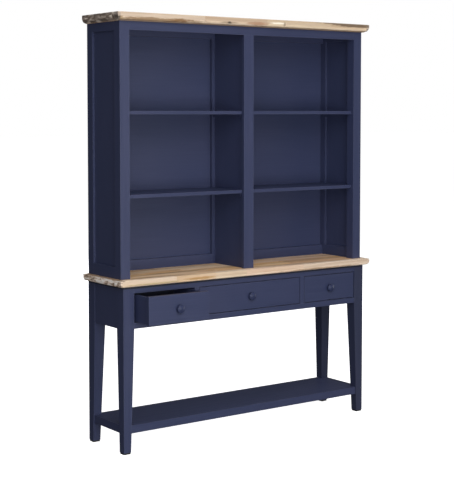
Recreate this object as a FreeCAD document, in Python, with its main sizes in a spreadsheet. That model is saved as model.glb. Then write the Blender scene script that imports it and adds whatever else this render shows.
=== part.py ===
import FreeCAD, Part
import math
import os

import Sketcher
from FreeCAD import Placement, Rotation, Vector

# Console table with a two-bay hutch standing on it.
# Millimetres. +Z up, front is -Y, left is -X. The origin is on the floor, in the middle of the
# box round the whole object as it stands, with its left drawer pulled out.
# The pieces are drawn about the middle of the table top, and origin_shift moves them all in Y.

doc = FreeCAD.newDocument("ConsoleTableWithHutch")
sheet = doc.addObject("Spreadsheet::Sheet", "Sizes")

SIZES = [
    # alias, value, what it is
    ("overall_width", 1430, "both boards, end to end"),
    ("overall_depth", 325, "table top, front to back"),
    ("overall_height", 1910, "floor to the top of the hutch"),
    ("table_height", 762, "floor to the top of the table"),
    ("origin_shift", 56.75, "centres the stored pose on the origin"),
    ("board_thick", 30, "table top board"),
    ("riser_height", 10, "strips between board and frame"),
    ("riser_width", 22, "strips between board and frame"),
    ("end_overhang", 25, "board past the legs at each end"),
    ("front_overhang", 22, "table top past the front legs"),
    ("back_gap", 2.5, "back legs in from the back of the board"),
    ("table_fascia", 19.5, "upright part of the table top's edge"),
    ("table_ovolo", 10.5, "rounded part of the table top's edge"),
    ("hutch_fascia", 19.5, "upright part of the hutch top's edge"),
    ("hutch_ovolo", 14, "rounded part of the hutch top's edge"),
    ("quirk", 2, "small step above the rounded part"),
    ("leg_square", 55, "leg at the apron"),
    ("leg_foot", 36, "leg at the floor"),
    ("glide_height", 6, "plastic glide"),
    ("glide_half", 16.5, "plastic glide, half its width"),
    ("foot_chamfer", 1.5, "bottom edge of each leg"),
    ("apron_bottom", 546.5, "floor to the underside of the aprons"),
    ("apron_thick", 20, "aprons"),
    ("apron_setback", 2, "aprons behind the legs' faces"),
    ("tenon_thick", 8, "apron tenons"),
    ("tenon_long", 20, "apron tenons"),
    ("tenon_shoulder", 20, "apron tenons, above and below"),
    ("slack", 0.1, "play round a tenon"),
    ("rail_depth", 45, "front rails and drawer dividers"),
    ("rail_setback", 1.5, "front rails behind the legs' faces"),
    ("top_rail_high", 20.5, "front top rail"),
    ("bottom_rail_high", 26, "front bottom rail"),
    ("divider_wide", 25, "upright between two drawers"),
    ("middle_half", 292, "half the middle drawer's opening"),
    ("drawer_gap", 3, "round each drawer front"),
    ("front_thick", 20, "drawer fronts"),
    ("front_setback", 1, "drawer fronts behind the rails"),
    ("left_open", 116, "left drawer, as it stands"),
    ("box_inset", 7, "drawer box in from the front's ends"),
    ("side_thick", 12, "drawer sides and backs"),
    ("side_long", 245, "drawer sides"),
    ("side_bottom", 576.5, "drawer sides"),
    ("side_top", 694, "drawer sides"),
    ("groove_high", 5.3, "groove for the drawer bottom"),
    ("groove_deep", 6, "groove for the drawer bottom"),
    ("bottom_thick", 5, "drawer bottom"),
    ("bottom_level", 586, "underside of the drawer bottom's groove"),
    ("tab_high", 14, "pull-out stop on each drawer back"),
    ("tab_wide", 60, "pull-out stop on each drawer back"),
    ("knob_height", 635, "floor to the knobs' middle"),
    ("knob_radius", 19, "knob"),
    ("knob_out", 22, "knob past the drawer front"),
    ("screw_radius", 2, "all screws' shanks"),
    ("shelf_bottom", 89, "lower shelf, underside"),
    ("shelf_rail_high", 35, "lower shelf rails"),
    ("shelf_rail_thick", 20, "lower shelf rails"),
    ("shelf_board", 18, "lower shelf panel"),
    ("hutch_shelf", 15, "hutch shelves"),
    ("shelf_front_set", 4.5, "lower shelf behind the front legs"),
    ("shelf_end_set", 5, "lower shelf in from the legs' faces"),
    ("shelf_back_set", 10, "lower shelf in front of the back legs' faces"),
    ("hutch_front", 120, "hutch front plane, in front of the middle"),
    ("hutch_back", 158, "hutch back plane, behind the middle"),
    ("hutch_top_thick", 36, "hutch top board"),
    ("hutch_overhang", 29.5, "hutch top past the hutch's front"),
    ("post_wide", 48, "front posts, seen from the front"),
    ("post_deep", 46, "front posts, seen from the side"),
    ("back_post_deep", 45, "back posts, seen from the side"),
    ("frame_thick", 30, "side frames"),
    ("panel_thick", 10, "side panels"),
    ("panel_groove", 8.5, "depth of the groove for the side panels"),
    ("side_rail_top", 39, "side frames, top rail"),
    ("side_rail_low", 51, "side frames, bottom rail"),
    ("head_rail_high", 38, "rail under the hutch top, in front"),
    ("face_thick", 18, "front rail and centre stile of the hutch"),
    ("stile_half", 27.5, "half the centre stile"),
    ("divider_half", 12, "half the centre divider panel"),
    ("batten_half", 29, "half the centre back batten"),
    ("batten_thick", 17, "back rails and batten"),
    ("back_rail_top", 45, "back top rail"),
    ("back_rail_low", 46, "back bottom rails"),
    ("back_panel_thick", 7, "back panel"),
    ("rebate_wide", 12.3, "back posts' rebate"),
    ("rebate_deep", 8, "back posts' rebate"),
    ("clear_shelf", 348.6, "clear height between the shelves"),
    ("cleat_high", 15, "shelf cleats"),
    ("cleat_thick", 12, "shelf cleats"),
    ("dowel_radius", 5, "dowels between hutch and table"),
    ("dowel_long", 40, "dowels between hutch and table"),
]
for row, (alias, value, note) in enumerate(SIZES, start=1):
    sheet.set("A%d" % row, alias)
    sheet.set("B%d" % row, str(value))
    sheet.setAlias("B%d" % row, alias)
    sheet.set("C%d" % row, note)
doc.recompute()


class Dim:
    """A length with its value and the sheet formula that it comes from."""

    def __init__(self, value, text):
        self.value = value
        self.text = text

    def __add__(self, other):
        other = dim(other)
        return Dim(self.value + other.value, "(%s + %s)" % (self.text, other.text))

    def __sub__(self, other):
        other = dim(other)
        return Dim(self.value - other.value, "(%s - %s)" % (self.text, other.text))

    def __radd__(self, other):
        return dim(other) + self

    def __rsub__(self, other):
        return dim(other) - self

    def __mul__(self, number):
        return Dim(self.value * number, "(%s * %s)" % (self.text, number))

    def __truediv__(self, number):
        return Dim(self.value / number, "(%s / %s)" % (self.text, number))

    def __neg__(self):
        return Dim(-self.value, "(0 - %s)" % self.text)


def dim(x):
    return x if isinstance(x, Dim) else Dim(float(x), "(%s)" % x)


def size(alias):
    return Dim(float(sheet.get(alias)), "Sizes.%s" % alias)


S = {alias: size(alias) for alias, _, _ in SIZES}

SHIFT = S["origin_shift"].text


def bind(obj, prop, length):
    """Sets a property to a length and ties it to the sheet."""
    obj.setExpression(prop, dim(length).text)


def origin_plane(body, role):
    for feature in body.Origin.OriginFeatures:
        if feature.Role == role:
            return feature
    raise ValueError(role)


def new_body(label):
    body = doc.addObject("PartDesign::Body", label)
    body.Label = label
    body.setExpression("Placement.Base.y", SHIFT)
    return body


def on_plane(sketch, body, role, offset):
    """Lays a sketch on one of its body's own origin planes, moved along the plane's normal."""
    sketch.AttachmentSupport = (origin_plane(body, role), [""])
    sketch.MapMode = "FlatFace"
    bind(sketch, "AttachmentOffset.Base.z", offset)


def fix_point(sketch, geo, pos, u, v):
    """Ties a point to the sketch's origin by its two coordinates."""
    for kind, axis, coordinate in (("DistanceX", -2, dim(u)), ("DistanceY", -1, dim(v))):
        if abs(coordinate.value) < 1e-9:
            sketch.addConstraint(Sketcher.Constraint("PointOnObject", geo, pos, axis))
            continue
        if coordinate.value > 0:
            c = Sketcher.Constraint(kind, -1, 1, geo, pos, coordinate.value)
            text = coordinate.text
        else:
            c = Sketcher.Constraint(kind, geo, pos, -1, 1, -coordinate.value)
            text = "(0 - %s)" % coordinate.text
        index = sketch.addConstraint(c)
        sketch.setExpression("Constraints[%d]" % index, text)


def outline(sketch, points):
    """Draws a closed outline. A point is (u, v); ("arc", centre u, centre v, u, v) reaches (u, v) round a quarter circle."""
    ends = [p[-2:] if p[0] == "arc" else p for p in points]
    count = len(points)
    for i, point in enumerate(points):
        (u0, v0), (u1, v1) = ends[i - 1], ends[i]
        a = Vector(dim(u0).value, dim(v0).value, 0)
        b = Vector(dim(u1).value, dim(v1).value, 0)
        if point[0] == "arc":
            centre = Vector(dim(point[1]).value, dim(point[2]).value, 0)
            start = math.atan2(a.y - centre.y, a.x - centre.x)
            end = math.atan2(b.y - centre.y, b.x - centre.x)
            turn = (end - start) % (2 * math.pi)
            anticlockwise = turn < math.pi
            if not anticlockwise:
                start, end = end, start
            arc = Part.ArcOfCircle(
                Part.Circle(centre, Vector(0, 0, 1), (a - centre).Length), start, end
            )
            geo = sketch.addGeometry(arc, False)
            fix_point(sketch, geo, 3, point[1], point[2])
            # an arc always runs anticlockwise from its start
            first, last = (1, 2) if anticlockwise else (2, 1)
        else:
            geo = sketch.addGeometry(Part.LineSegment(a, b), False)
            first, last = 1, 2
        point_ends.append((geo, first, last, i))
    # join the ends, then place each corner
    mine = point_ends[-count:]
    for k in range(count):
        geo, first, last, _ = mine[k]
        after, after_first, _, _ = mine[(k + 1) % count]
        sketch.addConstraint(
            Sketcher.Constraint("Coincident", geo, last, after, after_first)
        )
    for k in range(count):
        geo, first, last, i = mine[k]
        arc_here = points[i][0] == "arc"
        arc_next = points[(i + 1) % count][0] == "arc"
        u, v = ends[i]
        if arc_here:
            # the quarter circle's far end has its radius already, so one coordinate places it
            centre_u = dim(points[i][1])
            if abs(dim(u).value - centre_u.value) < 1e-6:
                sketch.addConstraint(Sketcher.Constraint("Vertical", geo, 3, geo, last))
            else:
                sketch.addConstraint(
                    Sketcher.Constraint("Horizontal", geo, 3, geo, last)
                )
        else:
            fix_point(sketch, geo, last, u, v)


point_ends = []


def pad(body, name, sketch, length, symmetric=False):
    feature = body.newObject("PartDesign::Pad", name)
    feature.Profile = sketch
    bind(feature, "Length", length)
    if symmetric:
        feature.SideType = "Symmetric"
    sketch.Visibility = False
    return feature


def board(label, x, y, z):
    """A rectangular board, sketched in plan and padded up. x, y and z are its (low, high) limits."""
    body = new_body(label)
    sketch = body.newObject("Sketcher::SketchObject", label + "_plan")
    on_plane(sketch, body, "XY_Plane", z[0])
    outline(
        sketch, [(x[0], y[0]), (x[1], y[0]), (x[1], y[1]), (x[0], y[1])]
    )
    pad(body, label + "_board", sketch, dim(z[1]) - z[0])
    return body


def box_feature(body, kind, name, x, y, z):
    """A box added to a body, or cut from it, by its (low, high) limits."""
    feature = body.newObject("PartDesign::%sBox" % kind, name)
    bind(feature, "Length", dim(x[1]) - x[0])
    bind(feature, "Width", dim(y[1]) - y[0])
    bind(feature, "Height", dim(z[1]) - z[0])
    bind(feature, "Placement.Base.x", x[0])
    bind(feature, "Placement.Base.y", y[0])
    bind(feature, "Placement.Base.z", z[0])
    return feature


def add_box(body, name, x, y, z):
    return box_feature(body, "Additive", name, x, y, z)


def cut_box(body, name, x, y, z):
    return box_feature(body, "Subtractive", name, x, y, z)


def cut_cylinder(body, name, radius, height, base, along="z"):
    feature = body.newObject("PartDesign::SubtractiveCylinder", name)
    bind(feature, "Radius", radius)
    bind(feature, "Height", height)
    if along == "y":
        feature.Placement = Placement(
            Vector(0, 0, 0), Rotation(Vector(1, 0, 0), -90)
        )
    for letter, value in zip("xyz", base):
        bind(feature, "Placement.Base.%s" % letter, value)
    return feature


def part_box(name, x, y, z):
    """A plain strip or block, one of a group."""
    obj = doc.addObject("Part::Box", name)
    bind(obj, "Length", dim(x[1]) - x[0])
    bind(obj, "Width", dim(y[1]) - y[0])
    bind(obj, "Height", dim(z[1]) - z[0])
    bind(obj, "Placement.Base.x", x[0])
    bind(obj, "Placement.Base.y", y[0])
    bind(obj, "Placement.Base.z", z[0])
    return obj


def part_cylinder(name, radius, height, base, along="z"):
    obj = doc.addObject("Part::Cylinder", name)
    bind(obj, "Radius", radius)
    bind(obj, "Height", height)
    if along == "y":
        obj.Placement = Placement(Vector(0, 0, 0), Rotation(Vector(1, 0, 0), -90))
    for letter, value in zip("xyz", base):
        bind(obj, "Placement.Base.%s" % letter, value)
    return obj


def fused(name, members):
    obj = doc.addObject("Part::MultiFuse", name)
    obj.Shapes = members
    obj.Refine = True
    return obj


def group(label, members):
    """Separate solids that share one node."""
    obj = doc.addObject("Part::Compound", label)
    obj.Label = label
    obj.Links = members
    obj.setExpression("Placement.Base.y", SHIFT)
    return obj


def side(sign, inner, outer):
    """The (low, high) limits in X of something that lies inner to outer from the middle plane."""
    return (dim(inner), dim(outer)) if sign > 0 else (-dim(outer), -dim(inner))


SIDES = ((-1, "left"), (1, "right"))
PIECES = []


def keep(obj):
    PIECES.append(obj)
    return obj


# ---------------------------------------------------------------- reference planes
end = S["overall_width"] / 2
front = -(S["overall_depth"] / 2)
back = S["overall_depth"] / 2
table_z = S["table_height"]
board_z = table_z - S["board_thick"]
frame_z = board_z - S["riser_height"]
leg_x = end - S["end_overhang"]
leg_in = leg_x - S["leg_square"]
leg_front = front + S["front_overhang"]
leg_back = back - S["back_gap"]
apron_z = S["apron_bottom"]
glide_z = S["glide_height"]
dowel_reach = S["dowel_long"] / 2 + 0.5


# ---------------------------------------------------------------- moulded boards
def moulded_board(label, z_low, z_high, y_low, y_high, fascia, ovolo):
    """A solid-wood board. Its front and both ends have an upright fascia, a small step and a quarter round below."""
    body = new_body(label)
    step_z = z_high - fascia
    foot_z = step_z - ovolo
    arc_x = end - S["quirk"] - ovolo
    section = body.newObject("Sketcher::SketchObject", label + "_section")
    on_plane(section, body, "XZ_Plane", -dim(y_high))
    outline(
        section,
        [
            (-end, z_high),
            (-end, step_z),
            (-(end - S["quirk"]), step_z),
            ("arc", -arc_x, step_z, -arc_x, foot_z),
            (-arc_x, z_low),
            (arc_x, z_low),
            (arc_x, foot_z),
            ("arc", arc_x, step_z, end - S["quirk"], step_z),
            (end, step_z),
            (end, z_high),
        ]
        if dim(foot_z).value - dim(z_low).value > 0.01
        else [
            (-end, z_high),
            (-end, step_z),
            (-(end - S["quirk"]), step_z),
            ("arc", -arc_x, step_z, -arc_x, foot_z),
            (arc_x, foot_z),
            ("arc", arc_x, step_z, end - S["quirk"], step_z),
            (end, step_z),
            (end, z_high),
        ],
    )
    pad(body, label + "_board", section, dim(y_high) - y_low)
    doc.recompute()
    whole = body.Shape.Volume
    edge = body.newObject("Sketcher::SketchObject", label + "_front_edge")
    on_plane(edge, body, "YZ_Plane", 0)
    q = dim(y_low) + S["quirk"]
    outline(
        edge,
        [
            (dim(y_low) - 5, step_z),
            (q, step_z),
            ("arc", q + ovolo, step_z, q + ovolo, foot_z),
            (q + ovolo, dim(z_low) - 5),
            (dim(y_low) - 5, dim(z_low) - 5),
        ],
    )
    cut = body.newObject("PartDesign::Pocket", label + "_front_moulding")
    cut.Profile = edge
    bind(cut, "Length", S["overall_width"] + 20)
    cut.SideType = "Symmetric"
    edge.Visibility = False
    doc.recompute()
    if not body.Shape.Volume < whole - 1000:
        raise ValueError(label + ": the front moulding cut nothing")
    return body


table_top = keep(
    moulded_board(
        "table_top", board_z, table_z, front, back, S["table_fascia"], S["table_ovolo"]
    )
)
hutch_top_z = S["overall_height"] - S["hutch_top_thick"]
hutch_y = -S["hutch_front"]
hutch_back = S["hutch_back"]
hutch_top = keep(
    moulded_board(
        "hutch_top",
        hutch_top_z,
        S["overall_height"],
        hutch_y - S["hutch_overhang"],
        hutch_back,
        S["hutch_fascia"],
        S["hutch_ovolo"],
    )
)

# ---------------------------------------------------------------- strips under the table top
riser_y = leg_front + S["riser_width"]
riser_back = leg_back - S["riser_width"]
keep(
    group(
        "top_riser_strips",
        [
            part_box("riser_front", (-leg_x, leg_x), (leg_front, riser_y), (frame_z, board_z)),
            part_box("riser_back", (-leg_x, leg_x), (riser_back, leg_back), (frame_z, board_z)),
        ]
        + [
            part_box(
                "riser_" + word,
                side(sign, leg_x - S["riser_width"], leg_x),
                (riser_y, riser_back),
                (frame_z, board_z),
            )
            for sign, word in SIDES
        ],
    )
)

# ---------------------------------------------------------------- legs
tenon = S["tenon_thick"]
slack = S["slack"]
apron_out = leg_x - S["apron_setback"]
apron_in = apron_out - S["apron_thick"]
tenon_out = apron_out - (S["apron_thick"] - tenon) / 2
tenon_in = tenon_out - tenon
tenon_z = (apron_z + S["tenon_shoulder"], frame_z - S["tenon_shoulder"])
socket_z = (tenon_z[0] - slack, tenon_z[1] + slack)
side_y = (leg_front + S["leg_square"], leg_back - S["leg_square"])
rail_y = (leg_front + S["rail_setback"], leg_front + S["rail_setback"] + S["rail_depth"])
top_rail_z = (frame_z - S["top_rail_high"], frame_z)
low_rail_z = (apron_z, apron_z + S["bottom_rail_high"])
rail_tenon_y = (rail_y[0] + 10, rail_y[1] - 10)
top_tenon_z = (top_rail_z[0] + 4, top_rail_z[1] - 5)
low_tenon_z = (low_rail_z[0] + 5, low_rail_z[1] - 5)
back_apron_y = (
    leg_back - S["apron_setback"] - S["apron_thick"],
    leg_back - S["apron_setback"],
)
back_tenon_y = (
    back_apron_y[0] + (S["apron_thick"] - tenon) / 2,
    back_apron_y[1] - (S["apron_thick"] - tenon) / 2,
)


def loose(limits):
    return (limits[0] - slack, limits[1] + slack)


def leg(label, sign, at_front):
    """A leg: a square block at the apron, then a taper on its two inner faces down to the foot."""
    body = new_body(label)
    x = side(sign, leg_in, leg_x)
    y = (
        (leg_front, leg_front + S["leg_square"])
        if at_front
        else (leg_back - S["leg_square"], leg_back)
    )
    add_box(body, label + "_block", x, y, (apron_z, frame_z))
    foot_x = side(sign, leg_x - S["leg_foot"], leg_x)
    foot_y = (
        (leg_front, leg_front + S["leg_foot"])
        if at_front
        else (leg_back - S["leg_foot"], leg_back)
    )
    taper = body.newObject("PartDesign::AdditiveWedge", label + "_taper")
    # the wedge grows along its own Y, which is turned to point up; its Z then points to the front
    taper.Placement = Placement(Vector(0, 0, 0), Rotation(Vector(1, 0, 0), 90))
    # the larger limits go first, so that no limit passes its partner while they are set
    bind(taper, "Ymin", 0)
    bind(taper, "Ymax", apron_z - glide_z)
    for prop, value in (
        ("Xmax", foot_x[1]),
        ("Xmin", foot_x[0]),
        ("X2max", x[1]),
        ("X2min", x[0]),
        ("Zmax", -foot_y[0]),
        ("Zmin", -foot_y[1]),
        ("Z2max", -y[0]),
        ("Z2min", -y[1]),
    ):
        setattr(taper, prop, dim(value).value)
        bind(taper, prop, value)
    bind(taper, "Placement.Base.z", glide_z)
    doc.recompute()
    low = [
        "Edge%d" % (i + 1)
        for i, edge in enumerate(body.Shape.Edges)
        if edge.BoundBox.ZMax < glide_z.value + 0.01
    ]
    chamfer = body.newObject("PartDesign::Chamfer", label + "_foot")
    chamfer.Base = (taper, low)
    bind(chamfer, "Size", S["foot_chamfer"])
    doc.recompute()
    # sockets for the side apron
    deep = S["tenon_long"] + 1
    cut_box(
        body,
        label + "_side_socket",
        loose(side(sign, tenon_in, tenon_out)),
        (side_y[0] - deep, side_y[0] + 1) if at_front else (side_y[1] - 1, side_y[1] + deep),
        socket_z,
    )
    if at_front:
        across = side(sign, leg_in - 1, leg_in + 19)
        cut_box(body, label + "_top_socket", across, loose(rail_tenon_y), loose(top_tenon_z))
        cut_box(body, label + "_low_socket", across, loose(rail_tenon_y), loose(low_tenon_z))
    else:
        cut_box(
            body,
            label + "_back_socket",
            side(sign, leg_in - 1, leg_in + deep),
            loose(back_tenon_y),
            socket_z,
        )
    return body


for sign, word in SIDES:
    keep(leg("leg_front_" + word, sign, True))
for sign, word in SIDES:
    keep(leg("leg_back_" + word, sign, False))

half_foot = S["leg_foot"] / 2
glide_half = S["glide_half"]
glides = []
for sign, word in SIDES:
    x = (leg_x - half_foot) * sign
    for row_word, y in (("front", leg_front + half_foot), ("back", leg_back - half_foot)):
        glides.append(
            part_box(
                "glide_%s_%s" % (row_word, word),
                (x - glide_half, x + glide_half),
                (y - glide_half, y + glide_half),
                (0, glide_z),
            )
        )
keep(group("foot_glides", glides))

# ---------------------------------------------------------------- aprons and rails
for sign, word in SIDES:
    label = "side_apron_" + word
    body = board(label, side(sign, apron_in, apron_out), side_y, (apron_z, frame_z))
    across = side(sign, tenon_in, tenon_out)
    add_box(body, label + "_front_tenon", across, (side_y[0] - S["tenon_long"], side_y[0] + 1), tenon_z)
    add_box(body, label + "_back_tenon", across, (side_y[1] - 1, side_y[1] + S["tenon_long"]), tenon_z)
    keep(body)

body = board("back_apron", (-leg_in, leg_in), back_apron_y, (apron_z, frame_z))
for sign, word in SIDES:
    add_box(
        body,
        "back_apron_%s_tenon" % word,
        side(sign, leg_in - 1, leg_in + S["tenon_long"]),
        back_tenon_y,
        tenon_z,
    )
keep(body)

for label, z, tenon_limits in (
    ("front_top_rail", top_rail_z, top_tenon_z),
    ("front_bottom_rail", low_rail_z, low_tenon_z),
):
    body = board(label, (-leg_in, leg_in), rail_y, z)
    for sign, word in SIDES:
        add_box(
            body,
            "%s_%s_tenon" % (label, word),
            side(sign, leg_in - 1, leg_in + 18),
            rail_tenon_y,
            tenon_limits,
        )
    keep(body)

open_z = (low_rail_z[1], top_rail_z[0])
div_in = S["middle_half"]
div_out = div_in + S["divider_wide"]
keep(
    group(
        "drawer_dividers",
        [
            part_box("divider_" + word, side(sign, div_in, div_out), rail_y, open_z)
            for sign, word in SIDES
        ],
    )
)

# ---------------------------------------------------------------- drawer boxes: limits when shut
gap = S["drawer_gap"]
front_y = (
    rail_y[0] + S["front_setback"],
    rail_y[0] + S["front_setback"] + S["front_thick"],
)
front_z = (open_z[0] + gap, open_z[1] - gap)
outer_front = (div_out + gap, leg_in - gap)
middle_front = div_in - gap
box_in = outer_front[0] + S["box_inset"]
box_out = outer_front[1] - S["box_inset"]
middle_box = middle_front - S["box_inset"]
box_back = front_y[1] + S["side_long"]

# ---------------------------------------------------------------- runners, guides, kickers, stops
run_z = (apron_z + 8, S["side_bottom"] - 0.5)
guide_z = (run_z[1], run_z[1] + 24)
clear = 0.6
outer_run_y = (side_y[0] + 0.5, side_y[1] - 0.5)
inner_run_y = (rail_y[1], back_apron_y[0])
runners, kickers, stops = [], [], []
for sign, word in SIDES:
    runners.append(
        fused(
            "outer_runner_" + word,
            [
                part_box("outer_base_" + word, side(sign, box_out - 15, apron_in), outer_run_y, run_z),
                part_box(
                    "outer_guide_" + word,
                    side(sign, box_out + clear, apron_in),
                    outer_run_y,
                    guide_z,
                ),
            ],
        )
    )
    runners.append(
        fused(
            "inner_runner_" + word,
            [
                part_box(
                    "inner_base_" + word,
                    side(sign, middle_box - 10.5, box_in + 10.5),
                    inner_run_y,
                    run_z,
                ),
                part_box(
                    "inner_guide_" + word,
                    side(sign, middle_box + clear, box_in - clear),
                    inner_run_y,
                    guide_z,
                ),
            ],
        )
    )
keep(group("drawer_runners", runners))

screw_y = (-60, 70)
screw_r = S["screw_radius"]
kick_z = (S["side_top"] + 3, board_z)
outer_kick = (box_out - 13, apron_in)
inner_kick = (middle_box - 6, box_in + 6)
for sign, word in SIDES:
    for name, limits, y in (
        ("outer", outer_kick, outer_run_y),
        ("inner", inner_kick, inner_run_y),
    ):
        middle = (dim(limits[0]) + limits[1]) / 2 * sign
        holes = []
        for i, sy in enumerate(screw_y):
            holes.append(
                part_cylinder(
                    "%s_kicker_hole_%s_%d" % (name, word, i),
                    screw_r + 0.3,
                    kick_z[1] - kick_z[0] + 2,
                    (middle, sy, kick_z[0] - 1),
                )
            )
            holes.append(
                part_cylinder(
                    "%s_kicker_sink_%s_%d" % (name, word, i),
                    screw_r * 2 + 0.3,
                    4.2,
                    (middle, sy, kick_z[0] - 1),
                )
            )
        cut = doc.addObject("Part::Cut", "%s_kicker_%s" % (name, word))
        cut.Base = part_box("%s_kicker_bar_%s" % (name, word), side(sign, *limits), y, kick_z)
        cut.Tool = fused("%s_kicker_holes_%s" % (name, word), holes)
        kickers.append(cut)
keep(group("drawer_kickers", kickers))

stop_y = (box_back + 0.6, back_apron_y[0])
stop_z = (600, 640)
for sign, word in SIDES:
    for i, centre in enumerate((middle_box - 30, box_in + 25, box_out - 25)):
        stops.append(
            part_box("stop_%s_%d" % (word, i), side(sign, centre - 10, centre + 10), stop_y, stop_z)
        )
keep(group("drawer_stops", stops))

screws = []
for sign, word in SIDES:
    for name, limits in (("outer", outer_kick), ("inner", inner_kick)):
        middle = (dim(limits[0]) + limits[1]) / 2 * sign
        for i, sy in enumerate(screw_y):
            tag = "%s_%s_%d" % (name, word, i)
            screws.append(
                fused(
                    "top_screw_" + tag,
                    [
                        part_cylinder("screw_head_" + tag, screw_r * 2, 3, (middle, sy, kick_z[0])),
                        part_cylinder("screw_shank_" + tag, screw_r, 50, (middle, sy, kick_z[0])),
                    ],
                )
            )
            cut_cylinder(
                table_top,
                "screw_hole_" + tag,
                screw_r + 0.05,
                kick_z[0] + 51 - board_z + 1,
                (middle, sy, board_z - 1),
            )
keep(group("top_screws", screws))

# ---------------------------------------------------------------- lower shelf
shelf_z = (S["shelf_bottom"], S["shelf_bottom"] + S["shelf_rail_high"])


def leg_width(z):
    """How wide a leg is at height z."""
    share = (dim(z).value - glide_z.value) / (apron_z - glide_z).value
    return Dim(
        S["leg_foot"].value + (S["leg_square"] - S["leg_foot"]).value * share,
        "(%s + (%s - %s) * (%s - %s) / (%s - %s))"
        % (
            S["leg_foot"].text,
            S["leg_square"].text,
            S["leg_foot"].text,
            dim(z).text,
            glide_z.text,
            apron_z.text,
            glide_z.text,
        ),
    )


fit = 0.3
low_w, high_w = leg_width(shelf_z[0]), leg_width(shelf_z[1])
shelf_front = leg_front + S["shelf_front_set"]
shelf_back = leg_back - S["shelf_back_set"]
shelf_end = leg_x - S["shelf_end_set"]
rail_t = S["shelf_rail_thick"]
long_rails = []
for word, y in (
    ("front", (shelf_front, shelf_front + rail_t)),
    ("back", (shelf_back - rail_t, shelf_back)),
):
    name = "shelf_rail_" + word
    body = doc.addObject("PartDesign::Body", name)
    sketch = body.newObject("Sketcher::SketchObject", name + "_face")
    on_plane(sketch, body, "XZ_Plane", -y[1])
    low_x, high_x = leg_x - low_w - fit, leg_x - high_w - fit
    outline(
        sketch,
        [(-low_x, shelf_z[0]), (low_x, shelf_z[0]), (high_x, shelf_z[1]), (-high_x, shelf_z[1])],
    )
    pad(body, name + "_board", sketch, rail_t)
    long_rails.append(body)
keep(group("lower_shelf_long_rails", long_rails))

end_rails = []
for sign, word in SIDES:
    name = "shelf_end_rail_" + word
    body = doc.addObject("PartDesign::Body", name)
    sketch = body.newObject("Sketcher::SketchObject", name + "_face")
    on_plane(sketch, body, "YZ_Plane", side(sign, shelf_end - rail_t, shelf_end)[0])
    outline(
        sketch,
        [
            (leg_front + low_w + fit, shelf_z[0]),
            (leg_back - low_w - fit, shelf_z[0]),
            (leg_back - high_w - fit, shelf_z[1]),
            (leg_front + high_w + fit, shelf_z[1]),
        ],
    )
    pad(body, name + "_board", sketch, rail_t)
    end_rails.append(body)
keep(group("lower_shelf_end_rails", end_rails))

px = shelf_end - rail_t
py = (shelf_front + rail_t, shelf_back - rail_t)
nx = leg_x - high_w - fit
ny = (leg_front + high_w + fit, leg_back - high_w - fit)
body = new_body("lower_shelf_panel")
sketch = body.newObject("Sketcher::SketchObject", "lower_shelf_panel_plan")
on_plane(sketch, body, "XY_Plane", shelf_z[1] - S["shelf_board"])
outline(
    sketch,
    [
        (-nx, py[0]),
        (nx, py[0]),
        (nx, ny[0]),
        (px, ny[0]),
        (px, ny[1]),
        (nx, ny[1]),
        (nx, py[1]),
        (-nx, py[1]),
        (-nx, ny[1]),
        (-px, ny[1]),
        (-px, ny[0]),
        (-nx, ny[0]),
    ],
)
pad(body, "lower_shelf_panel_board", sketch, S["shelf_board"])
keep(body)

# ---------------------------------------------------------------- hutch: posts and side frames
post_in = leg_x - S["post_wide"]
post_y = (hutch_y, hutch_y + S["post_deep"])
back_post_y = (hutch_back - S["back_post_deep"], hutch_back)
frame_in = leg_x - S["frame_thick"]
panel_out = leg_x - (S["frame_thick"] - S["panel_thick"]) / 2
panel_in = panel_out - S["panel_thick"]
hutch_z = (table_z, hutch_top_z)
groove = S["panel_groove"]
dowel_r = S["dowel_radius"]
hole_r = dowel_r + 0.1
front_dowel = (leg_x - 24, post_y[0] + 23)
back_dowel = (leg_x - 15, back_post_y[0] + 26)

for sign, word in SIDES:
    label = "post_front_" + word
    body = board(label, side(sign, post_in, leg_x), post_y, hutch_z)
    cut_box(
        body,
        label + "_groove",
        loose(side(sign, panel_in, panel_out)),
        (post_y[1] - groove, post_y[1] + 1),
        (hutch_z[0] - 1, hutch_z[1] + 1),
    )
    cut_cylinder(
        body,
        label + "_dowel_hole",
        hole_r,
        dowel_reach + 1,
        (front_dowel[0] * sign, front_dowel[1], table_z - 1),
    )
    keep(body)
    label = "post_back_" + word
    body = board(label, side(sign, frame_in, leg_x), back_post_y, hutch_z)
    cut_box(
        body,
        label + "_groove",
        loose(side(sign, panel_in, panel_out)),
        (back_post_y[0] - 1, back_post_y[0] + groove),
        (hutch_z[0] - 1, hutch_z[1] + 1),
    )
    cut_box(
        body,
        label + "_rebate",
        side(sign, frame_in - 1, frame_in + S["rebate_wide"]),
        (back_post_y[1] - S["rebate_deep"], back_post_y[1] + 1),
        (hutch_z[0] - 1, hutch_z[1] + 1),
    )
    cut_cylinder(
        body,
        label + "_dowel_hole",
        hole_r,
        dowel_reach + 1,
        (back_dowel[0] * sign, back_dowel[1], table_z - 1),
    )
    keep(body)

dowels = []
for sign, word in SIDES:
    for name, at in (("front", front_dowel), ("back", back_dowel)):
        dowels.append(
            part_cylinder(
                "dowel_%s_%s" % (name, word),
                dowel_r,
                S["dowel_long"],
                (at[0] * sign, at[1], table_z - S["dowel_long"] / 2),
            )
        )
        cut_cylinder(
            table_top,
            "dowel_hole_%s_%s" % (name, word),
            hole_r,
            dowel_reach + 1,
            (at[0] * sign, at[1], table_z - dowel_reach),
        )
keep(group("hutch_dowels", dowels))

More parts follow.
